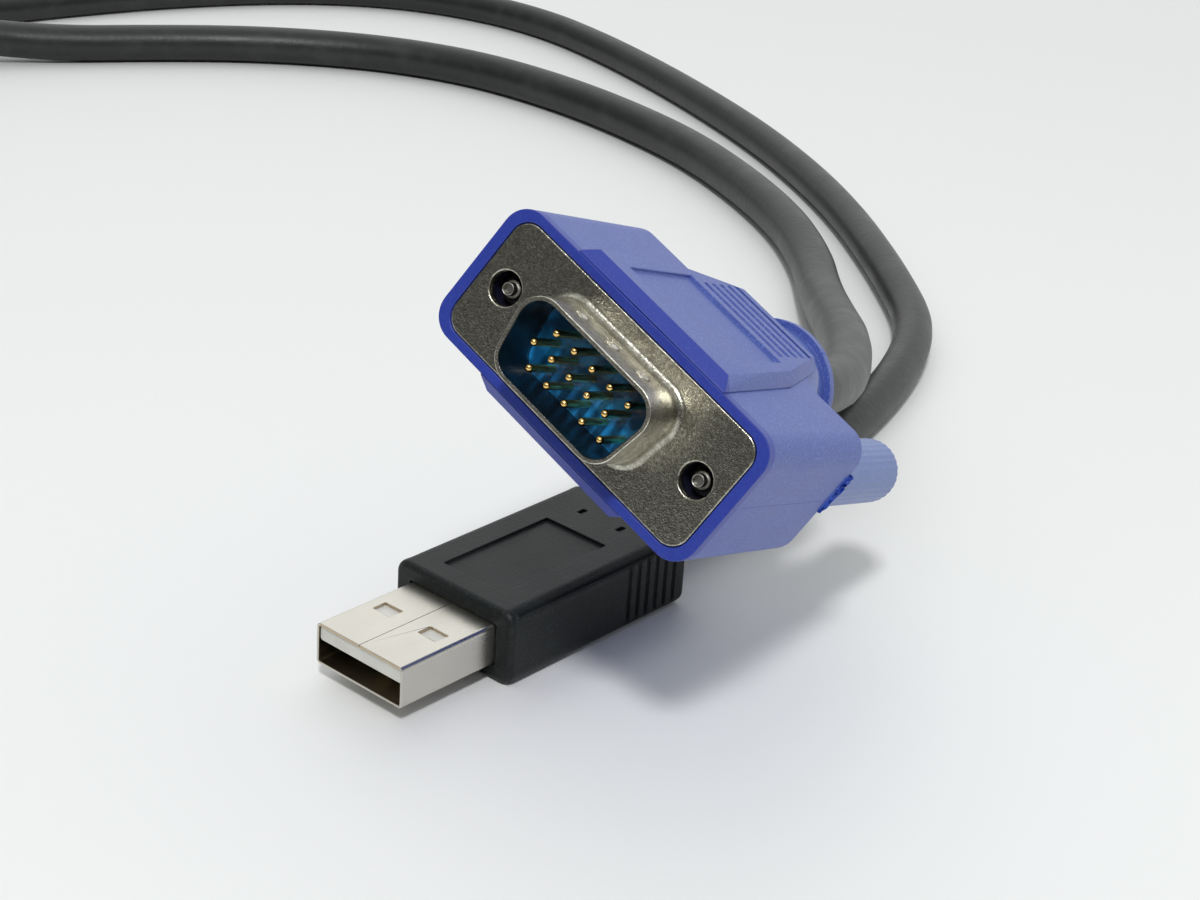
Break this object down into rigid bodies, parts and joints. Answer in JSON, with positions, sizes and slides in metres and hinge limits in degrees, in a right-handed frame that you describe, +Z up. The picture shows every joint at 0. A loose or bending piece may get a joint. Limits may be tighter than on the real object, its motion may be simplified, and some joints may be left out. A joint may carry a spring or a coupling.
{
  "type": "keyboard, video and mouse switch dongle",
  "caption": "Small adapter box with a network jack and cords to a blue D-shaped video plug with thumbscrews and a black flat USB plug.",
  "frame": {"origin": "on the floor under the middle of the bounding box of everything but the two cord tubes", "axes": "+Z up; +X from the USB plug's open end towards its cord; +Y from the plugs towards the adapter box"},
  "size_m": [0.1873, 0.2608, 0.0503],
  "materials": {
    "video_moulding": "satin moulded blue with a fine grain",
    "video_flange": "plated sheet, slightly dull",
    "insulator_blue": "plain moulded",
    "contact_gold": "thin gold plating",
    "knob_plastic": "moulded with fine flutes",
    "screw_steel": "nickel plated",
    "usb_moulding": "satin moulded black",
    "usb_steel": "bright plated sheet",
    "usb_white": "plain moulded",
    "cord_jacket": "smooth round jacket",
    "box_plastic": "fine grained black",
    "board_green": "solder resist",
    "chip_black": "moulded package",
    "jack_plastic": "plain moulded"
  },
  "bodies": {
    "dongle": {"video_housing": "video_moulding", "video_front_shell": "video_flange", "video_rear_shell": "video_flange", "video_insulator": "insulator_blue", "usb_overmould": "usb_moulding", "usb_shell": "usb_steel", "usb_tongue": "usb_white", "video_cord_tube": "cord_jacket", "usb_cord_tube": "cord_jacket", "box_case_top": "box_plastic", "box_case_bottom": "box_plastic", "video_gland": "cord_jacket", "usb_gland": "cord_jacket", "box_board": "board_green", "box_main_chip": "chip_black", "box_video_chip": "chip_black", "jack_body": "jack_plastic", "jack_shield": "usb_steel", "box_case_screws": "screw_steel", "video_pin_01": "contact_gold", "video_pin_02": "contact_gold", "video_pin_03": "contact_gold", "video_pin_04": "contact_gold", "video_pin_05": "contact_gold", "video_pin_06": "contact_gold", "video_pin_07": "contact_gold", "video_pin_08": "contact_gold", "video_pin_09": "contact_gold", "video_pin_10": "contact_gold", "video_pin_11": "contact_gold", "video_pin_12": "contact_gold", "video_pin_13": "contact_gold", "video_pin_14": "contact_gold", "video_pin_15": "contact_gold", "usb_contact_1": "contact_gold", "usb_contact_2": "contact_gold", "usb_contact_3": "contact_gold", "usb_contact_4": "contact_gold", "jack_contact_1": "contact_gold", "jack_contact_2": "contact_gold", "jack_contact_3": "contact_gold", "jack_contact_4": "contact_gold", "jack_contact_5": "contact_gold", "jack_contact_6": "contact_gold", "jack_contact_7": "contact_gold", "jack_contact_8": "contact_gold"},
    "thumbscrew_1": {"thumbscrew_1_knob": "knob_plastic", "thumbscrew_1_screw": "screw_steel"},
    "thumbscrew_2": {"thumbscrew_2_knob": "knob_plastic", "thumbscrew_2_screw": "screw_steel"}
  },
  "joints": [
    {"name": "thumbscrew_1_turn", "type": "hinge", "parent": "dongle", "child": "thumbscrew_1", "pos_m": [-0.00257, -0.09716, 0.03509], "axis": [-0.9116, -0.2184, 0.3483], "continuous": true},
    {"name": "thumbscrew_2_turn", "type": "hinge", "parent": "dongle", "child": "thumbscrew_2", "pos_m": [-0.00143, -0.11954, 0.02403], "axis": [-0.9116, -0.2184, 0.3483], "continuous": true}
  ]
}
